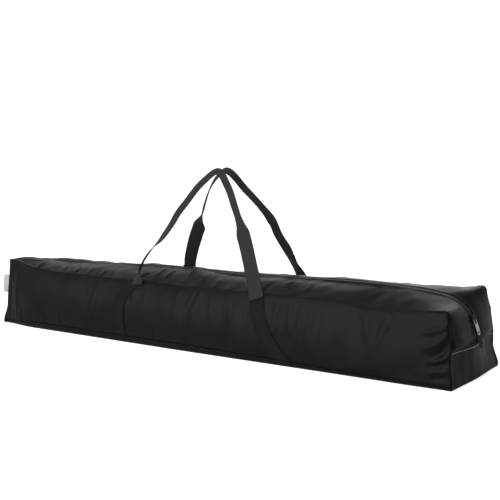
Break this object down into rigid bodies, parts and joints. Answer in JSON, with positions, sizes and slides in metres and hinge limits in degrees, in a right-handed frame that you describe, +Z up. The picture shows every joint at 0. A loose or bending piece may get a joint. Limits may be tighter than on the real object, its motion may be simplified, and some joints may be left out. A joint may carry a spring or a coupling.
{
  "type": "background support system",
  "caption": "Background support kit packed in its long zipped carry bag with webbing carry handles, holding folded light stands and a take-apart crossbar.",
  "frame": {"origin": "middle of the bag's flat underside", "axes": "+Z up, +X along the bag to the end where the zip closes, +Y to the back"},
  "size_m": [1.1785, 0.2454, 0.3816],
  "materials": {
    "nylon": "black woven polyester, satin, coated inside",
    "webbing": "black polypropylene webbing, matt",
    "zip_tape": "black knitted zip tape, matt",
    "zip_coil": "black nylon coil",
    "zip_metal": "plated zinc casting, satin bright",
    "label_cloth": "pale woven label, blank",
    "black_tube": "black anodised, satin",
    "silver_tube": "plain anodised, satin",
    "black_plastic": "moulded, fine grain",
    "black_rubber": "matt rubber"
  },
  "bodies": {
    "bag": {"bottom_panel": "nylon", "front_panel": "nylon", "back_panel": "nylon", "left_end_panel": "nylon", "right_end_lower_panel": "nylon", "top_front_panel": "nylon", "top_back_panel": "nylon", "zip_tape_front": "zip_tape", "zip_tape_back": "zip_tape", "zip_coil_front": "zip_coil", "zip_coil_back": "zip_coil", "zip_end_tab": "webbing", "sewn_strap_front_left": "webbing", "sewn_strap_front_right": "webbing", "sewn_strap_back_left": "webbing", "sewn_strap_back_right": "webbing", "side_label": "label_cloth", "stand_a_lower_tube": "black_tube", "stand_a_middle_tube": "black_tube", "stand_a_top_tube": "silver_tube", "stand_a_lower_clamp": "black_plastic", "stand_a_upper_clamp": "black_plastic", "stand_a_lower_knob": "black_plastic", "stand_a_upper_knob": "black_plastic", "stand_a_leg_collar": "black_plastic", "stand_a_slide_collar": "black_plastic", "stand_a_leg_1": "black_tube", "stand_a_foot_1": "black_rubber", "stand_a_brace_1": "silver_tube", "stand_a_leg_2": "black_tube", "stand_a_foot_2": "black_rubber", "stand_a_brace_2": "silver_tube", "stand_a_leg_3": "black_tube", "stand_a_foot_3": "black_rubber", "stand_a_brace_3": "silver_tube", "stand_b_lower_tube": "black_tube", "stand_b_middle_tube": "black_tube", "stand_b_top_tube": "silver_tube", "stand_b_lower_clamp": "black_plastic", "stand_b_upper_clamp": "black_plastic", "stand_b_lower_knob": "black_plastic", "stand_b_upper_knob": "black_plastic", "stand_b_leg_collar": "black_plastic", "stand_b_slide_collar": "black_plastic", "stand_b_leg_1": "black_tube", "stand_b_foot_1": "black_rubber", "stand_b_brace_1": "silver_tube", "stand_b_leg_2": "black_tube", "stand_b_foot_2": "black_rubber", "stand_b_brace_2": "silver_tube", "stand_b_leg_3": "black_tube", "stand_b_foot_3": "black_rubber", "stand_b_brace_3": "silver_tube", "crossbar_section_1": "black_tube", "crossbar_section_2": "black_tube", "crossbar_section_3": "black_tube"},
    "front_handle": {"front_handle": "webbing"},
    "back_handle": {"back_handle": "webbing"},
    "slider": {"zip_slider": "zip_metal"},
    "pull": {"zip_pull": "zip_metal"}
  },
  "joints": [
    {"name": "front_handle_swing", "type": "hinge", "parent": "bag", "child": "front_handle", "pos_m": [0, -0.10769, 0.137], "axis": [1, 0, 0], "range_deg": [0, 135]},
    {"name": "back_handle_swing", "type": "hinge", "parent": "bag", "child": "back_handle", "pos_m": [0, 0.10769, 0.137], "axis": [-1, 0, 0], "range_deg": [0, 135]},
    {"name": "zip_slide", "type": "slide", "parent": "bag", "child": "slider", "axis": [-0.1961, 0, 0.9806], "range_m": [-0.03, 0.003]},
    {"name": "pull_swing", "type": "hinge", "parent": "slider", "child": "pull", "pos_m": [0.5785, 0, 0.11582], "axis": [0.0606, -0.9511, -0.303], "range_deg": [0, 130]}
  ]
}
